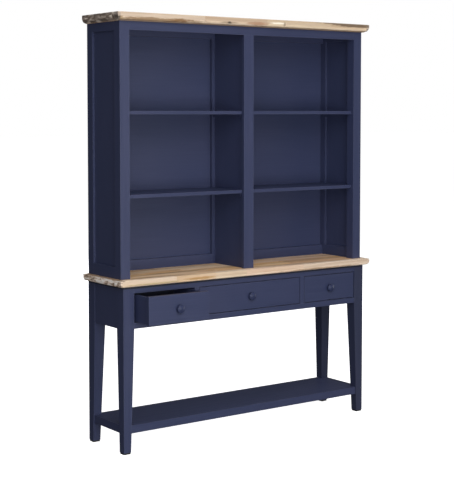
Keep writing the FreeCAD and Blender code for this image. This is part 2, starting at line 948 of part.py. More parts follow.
side_rails = []
rail_run = (post_y[1], back_post_y[0])
top_z = (hutch_z[1] - S["side_rail_top"], hutch_z[1])
low_z = (hutch_z[0], hutch_z[0] + S["side_rail_low"])
for sign, word in SIDES:
    for name, z in (("top", top_z), ("low", low_z)):
        label = "side_rail_%s_%s" % (name, word)
        body = doc.addObject("PartDesign::Body", label)
        sketch = body.newObject("Sketcher::SketchObject", label + "_plan")
        on_plane(sketch, body, "XY_Plane", z[0])
        x = side(sign, frame_in, leg_x)
        outline(
            sketch,
            [
                (x[0], rail_run[0]),
                (x[1], rail_run[0]),
                (x[1], rail_run[1]),
                (x[0], rail_run[1]),
            ],
        )
        pad(body, label + "_board", sketch, dim(z[1]) - z[0])
        stub = side(sign, panel_in, panel_out)
        add_box(body, label + "_stub_front", stub, (rail_run[0] - 8, rail_run[0] + 1), z)
        add_box(body, label + "_stub_back", stub, (rail_run[1] - 1, rail_run[1] + 8), z)
        edge_z = (
            (z[0] - 1, z[0] + groove) if name == "top" else (z[1] - groove, z[1] + 1)
        )
        cut_box(
            body,
            label + "_groove",
            loose(stub),
            (rail_run[0] - 9, rail_run[1] + 9),
            edge_z,
        )
        side_rails.append(body)
keep(group("hutch_side_rails", side_rails))

for sign, word in SIDES:
    keep(
        board(
            "side_panel_" + word,
            side(sign, panel_in, panel_out),
            (rail_run[0] - 8, rail_run[1] + 8),
            (low_z[1] - 8, top_z[0] + 8),
        )
    )

# ---------------------------------------------------------------- hutch: face frame, divider, back
face_y = (post_y[0], post_y[0] + S["face_thick"])
head_z = (hutch_z[1] - S["head_rail_high"], hutch_z[1])
keep(board("hutch_front_top_rail", (-post_in, post_in), face_y, head_z))
keep(
    board(
        "centre_stile", (-S["stile_half"], S["stile_half"]), face_y, (hutch_z[0], head_z[0])
    )
)
panel_face = hutch_back - S["rebate_deep"]
batten_y = (panel_face - S["batten_thick"], panel_face)
keep(
    board(
        "centre_divider",
        (-S["divider_half"], S["divider_half"]),
        (face_y[1], batten_y[0]),
        hutch_z,
    )
)
back_top_z = (hutch_z[1] - S["back_rail_top"], hutch_z[1])
back_low_z = (hutch_z[0], hutch_z[0] + S["back_rail_low"])
keep(
    board(
        "centre_back_batten",
        (-S["batten_half"], S["batten_half"]),
        batten_y,
        (hutch_z[0], back_top_z[0]),
    )
)
keep(board("hutch_back_top_rail", (-frame_in, frame_in), batten_y, back_top_z))
keep(
    group(
        "hutch_back_bottom_rails",
        [
            part_box(
                "back_bottom_rail_" + word,
                side(sign, S["batten_half"], frame_in),
                batten_y,
                back_low_z,
            )
            for sign, word in SIDES
        ],
    )
)
back_half = frame_in + S["rebate_wide"] - 0.3
keep(
    board(
        "back_panel",
        (-back_half, back_half),
        (panel_face + 0.1, panel_face + 0.1 + S["back_panel_thick"]),
        (hutch_z[0] + 0.5, hutch_z[1] - 0.5),
    )
)

# ---------------------------------------------------------------- hutch: shelves and cleats
shelf_levels = (
    ("lower", table_z + S["clear_shelf"]),
    ("upper", table_z + S["clear_shelf"] * 2 + S["hutch_shelf"]),
)
cleats = []
for level, z in shelf_levels:
    for sign, word in SIDES:
        label = "shelf_%s_%s" % (level, word)
        body = new_body(label)
        sketch = body.newObject("Sketcher::SketchObject", label + "_plan")
        on_plane(sketch, body, "XY_Plane", z)
        plan = [
            (S["divider_half"], face_y[1]),
            (post_in, face_y[1]),
            (post_in, rail_run[0]),
            (panel_in - 0.2, rail_run[0]),
            (panel_in - 0.2, rail_run[1]),
            (frame_in, rail_run[1]),
            (frame_in, panel_face),
            (S["batten_half"], panel_face),
            (S["batten_half"], batten_y[0]),
            (S["divider_half"], batten_y[0]),
        ]
        outline(sketch, [(u if sign > 0 else -u, v) for u, v in plan])
        pad(body, label + "_board", sketch, S["hutch_shelf"])
        keep(body)
        cleat_z = (z - S["cleat_high"], z)
        cleats.append(
            part_box(
                "cleat_inner_%s_%s" % (level, word),
                side(sign, S["divider_half"], S["divider_half"] + S["cleat_thick"]),
                (face_y[1] + 12, batten_y[0]),
                cleat_z,
            )
        )
        cleats.append(
            part_box(
                "cleat_outer_%s_%s" % (level, word),
                side(sign, panel_in - S["cleat_thick"], panel_in),
                rail_run,
                cleat_z,
            )
        )
keep(group("shelf_cleats", cleats))


# ---------------------------------------------------------------- drawers
def shifted(limits, by):
    return (limits[0] - by, limits[1] - by)


def knob(label, x, face):
    """A turned knob on the drawer front: a flange, a waist and a domed head, with a blind hole for its screw."""
    body = new_body(label)
    sketch = body.newObject("Sketcher::SketchObject", label + "_section")
    on_plane(sketch, body, "YZ_Plane", 0)
    r, out = S["knob_radius"], S["knob_out"]
    hole = screw_r + 0.05
    outline(
        sketch,
        [
            (0, hole),
            (0, 11),
            (-2, 11),
            ("arc", -2, 9, -4, 9),
            (-6.5, 8.5),
            (-8.5, r - 3),
            ("arc", -11.5, r - 3, -11.5, r),
            (-13, r),
            ("arc", -13, r - 5, -18, r - 5),
            (-20.5, r - 10),
            (-out, 6),
            (-out, 0),
            (-16, 0),
            (-16, hole),
        ],
    )
    turned = body.newObject("PartDesign::Revolution", label + "_turned")
    turned.Profile = sketch
    turned.ReferenceAxis = (sketch, ["H_Axis"])
    turned.Angle = 360
    sketch.Visibility = False
    bind(body, "Placement.Base.x", x)
    body.setExpression("Placement.Base.y", "%s + %s" % (dim(face).text, SHIFT))
    bind(body, "Placement.Base.z", S["knob_height"])
    return body


def knob_screw(label, x, inner_face):
    """The pan-head screw that holds the knob from inside the drawer."""
    body = new_body(label)
    sketch = body.newObject("Sketcher::SketchObject", label + "_section")
    on_plane(sketch, body, "YZ_Plane", 0)
    outline(
        sketch,
        [
            (-(S["front_thick"] + 12), 0),
            (-(S["front_thick"] + 12), screw_r),
            (0, screw_r),
            (0, 4.2),
            (1.2, 4.2),
            (2.4, 3.0),
            (2.4, 0),
        ],
    )
    turned = body.newObject("PartDesign::Revolution", label + "_turned")
    turned.Profile = sketch
    turned.ReferenceAxis = (sketch, ["H_Axis"])
    turned.Angle = 360
    sketch.Visibility = False
    bind(body, "Placement.Base.x", x)
    body.setExpression("Placement.Base.y", "%s + %s" % (dim(inner_face).text, SHIFT))
    bind(body, "Placement.Base.z", S["knob_height"])
    return body


def drawer(word, front_x, box_x, pulled):
    """One drawer. front_x and box_x are limits in X; pulled is how far out it stands."""
    name = word + "_drawer_"
    fy = shifted(front_y, pulled)
    by = shifted((front_y[1], box_back), pulled)
    t = S["side_thick"]
    groove_z = (S["bottom_level"], S["bottom_level"] + S["groove_high"])
    inside = (box_x[0] + t, box_x[1] - t)
    middle = (dim(front_x[0]) + front_x[1]) / 2
    if abs(middle.value) < 1e-9:
        middle = dim(0)

    body = board(name + "front", front_x, fy, front_z)
    cut_box(
        body,
        name + "front_groove",
        (inside[0] - S["groove_deep"], inside[1] + S["groove_deep"]),
        (fy[1] - S["groove_deep"] - 0.3, fy[1] + 1),
        groove_z,
    )
    cut_cylinder(
        body,
        name + "front_hole",
        screw_r + 0.3,
        S["front_thick"] + 2,
        (middle, fy[0] - 1, S["knob_height"]),
        along="y",
    )
    keep(body)

    sides = []
    for tag, x, groove_x in (
        ("a", (box_x[0], inside[0]), (inside[0] - S["groove_deep"], inside[0] + 1)),
        ("b", (inside[1], box_x[1]), (inside[1] - 1, inside[1] + S["groove_deep"])),
    ):
        label = name + "side_" + tag
        piece = doc.addObject("PartDesign::Body", label)
        sketch = piece.newObject("Sketcher::SketchObject", label + "_face")
        on_plane(sketch, piece, "YZ_Plane", x[0])
        outline(
            sketch,
            [
                (by[0], S["side_bottom"]),
                (by[1], S["side_bottom"]),
                (by[1], S["side_top"]),
                (by[0], S["side_top"]),
            ],
        )
        pad(piece, label + "_board", sketch, t)
        cut_box(piece, label + "_groove", groove_x, (by[0] - 1, by[1] + 1), groove_z)
        sides.append(piece)
    keep(group(name + "sides", sides))

    body = board(
        name + "back", inside, (by[1] - t, by[1]), (groove_z[1] + 0.2, S["side_top"])
    )
    add_box(
        body,
        name + "back_stop_tab",
        (middle - S["tab_wide"] / 2, middle + S["tab_wide"] / 2),
        (by[1] - t, by[1]),
        (dim(S["side_top"]) - 1, S["side_top"] + S["tab_high"]),
    )
    keep(body)

    keep(
        board(
            name + "bottom",
            (inside[0] - S["groove_deep"] + 0.3, inside[1] + S["groove_deep"] - 0.3),
            (by[0] - S["groove_deep"], by[1]),
            (groove_z[0] + 0.15, groove_z[0] + 0.15 + S["bottom_thick"]),
        )
    )
    keep(knob(name + "knob", middle, fy[0]))
    keep(knob_screw(name + "knob_screw", middle, fy[1]))


drawer("left", side(-1, *outer_front), side(-1, box_in, box_out), S["left_open"])
drawer("middle", (-middle_front, middle_front), (-middle_box, middle_box), dim(0))
drawer("right", side(1, *outer_front), side(1, box_in, box_out), dim(0))

# ---------------------------------------------------------------- check, then write
doc.recompute()
faults = []
for obj in doc.Objects:
    if "Invalid" in obj.State or "Error" in obj.State:
        faults.append("%s is %s" % (obj.Name, obj.State))
for piece in PIECES:
    shape = piece.Shape
    if shape.isNull() or not shape.isValid() or shape.Volume < 1:
        faults.append("%s has no valid shape" % piece.Label)
labels = [piece.Label for piece in PIECES]
if len(set(labels)) != len(labels):
    faults.append("two pieces share a label")
if len(labels) > 60:
    faults.append("%d pieces, more than 60" % len(labels))
if faults:
    raise RuntimeError("; ".join(faults))

os.makedirs("parts", exist_ok=True)
low = [1e9] * 3
high = [-1e9] * 3
for piece in PIECES:
    piece.Shape.exportStep("parts/%s.step" % piece.Label)
    box = piece.Shape.BoundBox
    for i, (a, b) in enumerate(
        ((box.XMin, box.XMax), (box.YMin, box.YMax), (box.ZMin, box.ZMax))
    ):
        low[i], high[i] = min(low[i], a), max(high[i], b)
print("pieces", len(PIECES), "solids", sum(len(p.Shape.Solids) for p in PIECES))
print("box", [round(v, 2) for v in low], [round(v, 2) for v in high])
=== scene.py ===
"""Console table with a two-bay hutch: looks, light and camera. Metres, in the frame's own axes."""

import math

import bpy
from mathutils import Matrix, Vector


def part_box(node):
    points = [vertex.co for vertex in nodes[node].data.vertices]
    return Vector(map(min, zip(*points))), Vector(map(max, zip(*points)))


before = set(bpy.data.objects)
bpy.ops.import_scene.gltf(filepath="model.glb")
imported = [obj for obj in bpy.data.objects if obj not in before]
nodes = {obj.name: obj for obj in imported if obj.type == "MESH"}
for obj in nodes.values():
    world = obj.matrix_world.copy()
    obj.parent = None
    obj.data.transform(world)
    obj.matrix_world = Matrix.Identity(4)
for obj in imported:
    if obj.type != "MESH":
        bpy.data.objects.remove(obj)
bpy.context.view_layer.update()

scene = bpy.context.scene


# ------------------------------------------------------------------ small shader helpers
class Net:
    """Makes and wires the nodes of one material."""

    def __init__(self, name):
        self.material = bpy.data.materials.new(name)
        self.material.use_nodes = True
        self.tree = self.material.node_tree
        self.tree.nodes.clear()
        self.out = self.tree.nodes.new("ShaderNodeOutputMaterial")

    def node(self, kind, **props):
        made = self.tree.nodes.new("ShaderNode" + kind)
        for key, value in props.items():
            setattr(made, key, value)
        return made

    def put(self, socket, value):
        if isinstance(value, bpy.types.NodeSocket):
            self.tree.links.new(value, socket)
        elif value is not None:
            socket.default_value = value

    def math(self, operation, a, b=None, c=None, clamp=False):
        made = self.node("Math", operation=operation, use_clamp=clamp)
        for socket, value in zip(made.inputs, (a, b, c)):
            self.put(socket, value)
        return made.outputs[0]

    def vmath(self, operation, a, b=None, scale=None):
        made = self.node("VectorMath", operation=operation)
        self.put(made.inputs[0], a)
        if b is not None:
            self.put(made.inputs[1], b)
        if scale is not None:
            self.put(made.inputs["Scale"], scale)
        return made.outputs["Value" if operation in ("LENGTH", "DISTANCE", "DOT_PRODUCT") else "Vector"]

    def split(self, vector):
        made = self.node("SeparateXYZ")
        self.put(made.inputs[0], vector)
        return made.outputs[0], made.outputs[1], made.outputs[2]

    def join(self, x, y, z):
        made = self.node("CombineXYZ")
        for socket, value in zip(made.inputs, (x, y, z)):
            self.put(socket, value)
        return made.outputs[0]

    def noise(self, vector, scale, detail=3.0, rough=0.5, lacunarity=2.0, distortion=0.0, colour=False):
        made = self.node("TexNoise")
        self.put(made.inputs["Vector"], vector)
        made.inputs["Scale"].default_value = scale
        made.inputs["Detail"].default_value = detail
        made.inputs["Roughness"].default_value = rough
        made.inputs["Lacunarity"].default_value = lacunarity
        made.inputs["Distortion"].default_value = distortion
        return made.outputs["Color" if colour else "Fac"]

    def white(self, vector):
        made = self.node("TexWhiteNoise", noise_dimensions="3D")
        self.put(made.inputs["Vector"], vector)
        return made.outputs["Value"], made.outputs["Color"]

    def ramp(self, value, stops, smooth=False):
        made = self.node("ValToRGB")
        elements = made.color_ramp.elements
        made.color_ramp.interpolation = "EASE" if smooth else "LINEAR"
        while len(elements) < len(stops):
            elements.new(0.5)
        for element, (place, colour) in zip(elements, stops):
            element.position = place
            if not isinstance(colour, tuple):
                colour = (colour, colour, colour)
            element.color = (*colour, 1.0)
        self.put(made.inputs[0], value)
        return made.outputs[0]

    def spread(self, value, low, high, to_low=0.0, to_high=1.0):
        made = self.node("MapRange", clamp=True)
        self.put(made.inputs["Value"], value)
        made.inputs["From Min"].default_value = low
        made.inputs["From Max"].default_value = high
        made.inputs["To Min"].default_value = to_low
        made.inputs["To Max"].default_value = to_high
        return made.outputs[0]

    def mix(self, share, a, b, blend="MIX"):
        made = self.node("Mix", data_type="RGBA", blend_type=blend)
        self.put(made.inputs[0], share)
        for socket, value in ((made.inputs[6], a), (made.inputs[7], b)):
            if isinstance(value, tuple):
                value = (*value, 1.0)
            self.put(socket, value)
        return made.outputs[2]

    def bump(self, height, strength, distance, normal=None):
        made = self.node("Bump")
        made.inputs["Strength"].default_value = strength
        made.inputs["Distance"].default_value = distance
        self.put(made.inputs["Height"], height)
        self.put(made.inputs["Normal"], normal)
        return made.outputs[0]

    def shader(self, **inputs):
        made = self.node("BsdfPrincipled")
        for key, value in inputs.items():
            self.put(made.inputs[key.replace("_", " ")], value)
        self.tree.links.new(made.outputs[0], self.out.inputs["Surface"])
        return made


def along(net, position, axis, slow, fast):
    """Coordinates stretched along the grain: axis is the direction in which a board is long."""
    x, y, z = net.split(position)
    parts = {"x": x, "y": y, "z": z}
    scaled = {
        name: net.math("MULTIPLY", value, slow if name == axis else fast)
        for name, value in parts.items()
    }
    return net.join(scaled["x"], scaled["y"], scaled["z"])


# ------------------------------------------------------------------ navy paint on solid wood
def navy(axis, depth=1.0, kind="navy_paint", gloss=0.5):
    """depth is how light the paint is: below 1 it is painted shade for the inner parts, the riser strips, the right
    legs and the knobs. gloss is its shine.
    """
    net = Net(kind + "_grain_" + axis)
    place = net.node("TexCoord").outputs["Object"]
    cloud = net.noise(place, 2.6, 3.0, 0.55)
    grain = net.noise(along(net, place, axis, 4.0, 150.0), 1.0, 4.0, 0.62, distortion=0.25)
    fine = net.noise(along(net, place, axis, 14.0, 620.0), 1.0, 2.0, 0.5)
    tone = net.mix(
        net.spread(cloud, 0.32, 0.68), (0.0270, 0.0360, 0.0880), (0.0320, 0.0390, 0.0920)
    )
    tone = net.mix(
        net.spread(grain, 0.30, 0.60, 0.45, 0.0), tone, (0.0205, 0.0270, 0.0700)
    )
    # the paint lies thinner where the grain stands proud
    tone = net.mix(
        net.spread(grain, 0.58, 0.80, 0.0, 0.40), tone, (0.0430, 0.0520, 0.1080)
    )
    # lighter paint along the edges, partly wear rubbed by handling and partly a painted highlight where light catches
    # the edges
    rounded = net.node("Bevel", samples=4)
    rounded.inputs["Radius"].default_value = 0.0030
    edge = net.vmath("DOT_PRODUCT", rounded.outputs[0], net.node("NewGeometry").outputs["Normal"])
    rubbed_and_highlit = net.math(
        "MULTIPLY", net.spread(edge, 0.985, 0.86), net.spread(net.noise(place, 38.0, 3.0, 0.6), 0.36, 0.62, 0.15, 0.75)
    )
    tone = net.mix(rubbed_and_highlit, tone, (0.0850, 0.0930, 0.1450))
    # painted shade: a depth below 1 darkens the whole navy, standing in for shade on the parts that use it
    if depth != 1.0:
        tone = net.mix(1.0, tone, (depth, depth, depth), blend="MULTIPLY")
    height = net.math(
        "ADD", net.math("MULTIPLY", grain, 0.8), net.math("MULTIPLY", fine, 0.28)
    )
    net.shader(
        Base_Color=tone,
        Roughness=net.math(
            "ADD",
            net.spread(grain, 0.3, 0.7, 0.40, 0.50),
            net.spread(cloud, 0.3, 0.7, -0.03, 0.04),
        ),
        IOR=1.48,
        Specular_IOR_Level=gloss,
        Normal=net.bump(height, 0.20, 0.0006),
    )
    return net.material


# ------------------------------------------------------------------ light hardwood staves
CREAM = (0.80, 0.635, 0.455)
TAN = (0.70, 0.525, 0.345)
PINK = (0.78, 0.600, 0.465)
OCHRE = (0.60, 0.425, 0.225)
BROWN = (0.44, 0.290, 0.175)
SAPWOOD = (0.90, 0.765, 0.615)


def staves(name, axis, wide, first, sawn_tones, front=None, marks=(), moulded=None, shade=1.0):
    """A board glued up from staves that run along axis.

    wide is a stave's width and first one glue line. front is (depth, staves) for the row at the
    front edge, each stave as (where it starts, tone). A mark is a streak, a patch, a knot or a band
    of painted shade: its middle, its half sizes, its tone and how strong it is. moulded is how far
    from the middle the rounding of the two ends starts, and shade how strong the dark streaks are
    behind the front row.
    """
    net = Net(name)
    place = net.node("TexCoord").outputs["Object"]
    x, y, z = net.split(place)
    run, across = (x, y) if axis == "x" else (y, x)
    row_place = net.math("DIVIDE", net.math("SUBTRACT", across, first), wide)
    row = net.math("FLOOR", row_place)
    row_value, row_colour = net.white(net.join(row, 3.7, 1.3))
    row_a, row_b, row_c = net.split(row_colour)
    length = net.math("ADD", 0.24, net.math("MULTIPLY", row_b, 0.22))
    piece_place = net.math(
        "DIVIDE", net.math("ADD", run, net.math("MULTIPLY", row_a, 1.9)), length
    )
    piece = net.math("FLOOR", piece_place)
    butt = net.math("ABSOLUTE", net.math("SUBTRACT", net.math("FRACT", piece_place), 0.5))
    butt_line = net.spread(net.math("MULTIPLY", net.math("SUBTRACT", butt, 0.5), length), -0.0006, 0.0)
    in_front = None
    if front:
        in_front = net.math("LESS_THAN", across, first + front[0])
        count = None
        near = None
        for start, _tone in front[1][1:]:
            past = net.math("GREATER_THAN", run, start)
            count = past if count is None else net.math("ADD", count, past)
            away = net.math("ABSOLUTE", net.math("SUBTRACT", run, start))
            near = away if near is None else net.math("MINIMUM", near, away)
        other = net.math("SUBTRACT", 1.0, in_front)
        piece = net.math(
            "ADD", net.math("MULTIPLY", piece, other), net.math("MULTIPLY", net.math("ADD", count, 40.0), in_front)
        )
        butt_line = net.math(
            "ADD",
            net.math("MULTIPLY", butt_line, other),
            net.math("MULTIPLY", net.spread(near, 0.0010, 0.0), in_front),
        )
    value, colour = net.white(net.join(piece, row, 8.1))
    seed_a, seed_b, seed_c = net.split(colour)

    # each stave has its own heart, so the growth rings cross each face as they do in sawn wood
    drift = net.noise(
        net.vmath("ADD", along(net, place, axis, 1.6, 7.0), net.vmath("SCALE", colour, scale=31.0)),
        1.0, 3.0, 0.55,
    )
    heart_across = net.math(
        "SUBTRACT", across, net.math("MULTIPLY", net.math("SUBTRACT", seed_a, 0.5), 0.5)
    )
    heart_z = net.math("SUBTRACT", z, net.math("SUBTRACT", net.math("MULTIPLY", seed_b, 0.5), 0.2))
    away = net.math(
        "SQRT",
        net.math(
            "ADD",
            net.math("MULTIPLY", heart_across, heart_across),
            net.math("MULTIPLY", heart_z, heart_z),
        ),
    )
    rings = net.math(
        "ADD", net.math("MULTIPLY", away, 150.0), net.math("MULTIPLY", drift, 11.0)
    )
    ring = net.math("FRACT", rings)
    late = net.ramp(ring, [(0.0, 0.15), (0.55, 0.0), (0.90, 1.0), (1.0, 0.25)], smooth=True)

    # the streaks are finer through the board's thickness than across its width
    shifted = net.vmath("ADD", place, net.vmath("SCALE", colour, scale=17.0))
    fine_scale = (2.4, 62.0, 150.0) if axis == "x" else (62.0, 2.4, 150.0)
    broad_scale = (1.7, 24.0, 60.0) if axis == "x" else (24.0, 1.7, 60.0)
    streak = net.noise(net.vmath("MULTIPLY", shifted, fine_scale), 1.0, 4.0, 0.6, distortion=0.5)
    pores = net.noise(along(net, shifted, axis, 26.0, 900.0), 1.0, 2.0, 0.6)
    broad = net.noise(net.vmath("MULTIPLY", shifted, broad_scale), 1.0, 3.0, 0.5, distortion=0.3)

    base = net.ramp(
        value,
        [
            (0.00, CREAM),
            (0.22, TAN),
            (0.36, BROWN),
            (0.50, PINK),
            (0.66, OCHRE),
            (0.80, (0.52, 0.365, 0.235)),
            (1.00, CREAM),
        ],
    )
    if front:
        stops = net.node("ValToRGB")
        stops.color_ramp.interpolation = "CONSTANT"
        elements = stops.color_ramp.elements
        while len(elements) < len(front[1]):
            elements.new(0.5)
        for index, (_start, front_tone) in enumerate(front[1]):
            elements[index].position = (index + 0.0) / len(front[1]) + 0.001
            elements[index].color = (*front_tone, 1.0)
        net.put(stops.inputs[0], net.math("DIVIDE", net.math("ADD", count, 0.5), float(len(front[1]))))
        base = net.mix(1.0, base, (1.41, 1.19, 0.93), blend="MULTIPLY")
        base = net.mix(in_front, base, stops.outputs[0])
    heartwood = net.mix(seed_c, (0.36, 0.205, 0.110), (0.47, 0.290, 0.190))
    # the row at the front is picked from the paler wood
    strong = net.math("SUBTRACT", shade, net.math("MULTIPLY", in_front, shade - 0.38)) if front else 1.0

    def dark_share(value):
        return net.math("MULTIPLY", value, strong)

    body = net.mix(dark_share(net.spread(broad, 0.53, 0.66, 0.0, 0.78)), base, heartwood)
    body = net.mix(net.spread(broad, 0.33, 0.45, 0.45, 0.0), body, SAPWOOD)
    body = net.mix(dark_share(net.spread(streak, 0.52, 0.68, 0.0, 0.62)), body, (0.315, 0.185, 0.100))
    body = net.mix(net.spread(streak, 0.32, 0.46, 0.50, 0.0), body, SAPWOOD)
    body = net.mix(dark_share(net.math("MULTIPLY", late, 0.22)), body, (0.38, 0.235, 0.130))
    body = net.mix(net.spread(pores, 0.60, 0.75, 0.0, 0.22), body, (0.28, 0.175, 0.10))

    # glue lines between staves and butt joints along them
    edge = net.math("ABSOLUTE", net.math("SUBTRACT", net.math("FRACT", row_place), 0.5))
    line = net.math("MAXIMUM", net.spread(edge, 0.5 - 0.0005 / wide, 0.5), butt_line)
    body = net.mix(net.math("MULTIPLY", line, 0.42), body, (0.26, 0.165, 0.10))

    # streaks, patches, knots and bands of painted shade, each with an edge that wavers
    waver = net.noise(along(net, place, axis, 30.0, 150.0), 1.0, 3.0, 0.6)
    for middle, half, tone, strength in marks:
        offset = net.vmath("SUBTRACT", place, middle)
        scaled = net.vmath("MULTIPLY", offset, tuple(1.0 / value for value in half))
        far = net.math("ADD", net.vmath("LENGTH", scaled), net.math("MULTIPLY", net.math("SUBTRACT", waver, 0.5), 1.5))
        body = net.mix(net.spread(far, 0.62, 1.12, strength, 0.0), body, tone)

    # sawn ends: the cut fibres take up dirt, in patches and arcs
    normal = net.node("TexCoord").outputs["Normal"]
    nx, ny, nz = net.split(normal)
    end = net.math("ABSOLUTE", nx if axis == "x" else ny)
    speck = net.noise(place, 190.0, 2.0, 0.6)
    patch = net.noise(
        net.vmath("ADD", net.vmath("MULTIPLY", place, (15.0, 15.0, 66.0)), net.vmath("SCALE", colour, scale=9.0)),
        1.0, 2.2, 0.55, distortion=0.5,
    )
    arcs = net.math("FRACT", net.math("ADD", net.math("MULTIPLY", away, 74.0), net.math("MULTIPLY", patch, 3.0)))
    arcs = net.ramp(arcs, [(0.0, 0.0), (0.40, 1.0), (0.62, 0.15), (1.0, 0.0)], smooth=True)
    patch = net.math("ADD", patch, net.math("MULTIPLY", net.math("SUBTRACT", arcs, 0.40), 0.05))
    sawn = net.ramp(patch, sawn_tones)
    sawn = net.mix(net.spread(speck, 0.52, 0.75, 0.0, 0.22), sawn, (0.13, 0.10, 0.085))
    end = net.spread(end, 0.16, 0.45, 0.0, 0.93)
    if moulded:
        under = net.math(
            "MULTIPLY",
            net.spread(net.math("ABSOLUTE", run), moulded - 0.001, moulded + 0.001, 0.0, 0.93),
            net.spread(nz, 0.10, -0.10),
        )
        end = net.math("MAXIMUM", end, under)
    body = net.mix(end, body, sawn)

    height = net.math(
        "ADD",
        net.math("MULTIPLY", streak, 0.5),
        net.math("SUBTRACT", net.math("MULTIPLY", pores, -0.5), net.math("MULTIPLY", line, 1.2)),
    )
    net.shader(
        Base_Color=body,
        Roughness=net.spread(streak, 0.25, 0.75, 0.50, 0.66),
        IOR=1.45,
        Normal=net.bump(height, 0.22, 0.0006),
    )
    return net.material


def plain_wood(axis):
    """Unfinished inner parts."""
    net = Net("plain_wood_grain_" + axis)
    place = net.node("TexCoord").outputs["Object"]
    grain = net.noise(along(net, place, axis, 3.0, 90.0), 1.0, 5.0, 0.62, distortion=0.5)
    pores = net.noise(along(net, place, axis, 30.0, 800.0), 1.0, 2.0, 0.5)
    tone = net.ramp(grain, [(0.30, (0.60, 0.45, 0.29)), (0.52, (0.50, 0.36, 0.22)), (0.72, (0.36, 0.24, 0.14))])
    tone = net.mix(net.spread(pores, 0.55, 0.75, 0.0, 0.3), tone, (0.24, 0.16, 0.10))
    net.shader(
        Base_Color=tone,
        Roughness=net.spread(grain, 0.3, 0.7, 0.62, 0.76),
        Normal=net.bump(grain, 0.25, 0.0006),
    )
    return net.material


def zinc():
    net = Net("zinc_plated_steel")
    place = net.node("TexCoord").outputs["Object"]
    mottle = net.noise(place, 900.0, 3.0, 0.6)
    net.shader(
        Base_Color=net.ramp(mottle, [(0.3, (0.50, 0.50, 0.52)), (0.7, (0.66, 0.66, 0.68))]),
        Metallic=1.0,
        Roughness=net.spread(mottle, 0.3, 0.7, 0.28, 0.42),
    )
    return net.material


def glide_plastic():
    net = Net("black_glide_plastic")
    place = net.node("TexCoord").outputs["Object"]
    grit = net.noise(place, 700.0, 3.0, 0.6)
    net.shader(
        Base_Color=net.ramp(grit, [(0.3, (0.012, 0.012, 0.013)), (0.7, (0.022, 0.022, 0.024))]),
        Roughness=net.spread(grit, 0.3, 0.7, 0.45, 0.62),
        Normal=net.bump(grit, 0.2, 0.0002),
    )
    return net.material


NAVY = {axis: navy(axis) for axis in "xyz"}
# painted shade: a darker navy for the drawer insides, runners, kickers, stops and the riser strips, standing in for the
# shade inside the case and under the top's overhang
INNER_PAINTED_SHADE = {axis: navy(axis, 0.30, "inner_navy_painted_shade") for axis in "xy"}
# painted shade: the knobs' navy is a little darker, standing in for the shade on them
KNOB_PAINTED_SHADE = navy("y", 0.86, "knob_navy_painted_shade", gloss=0.22)
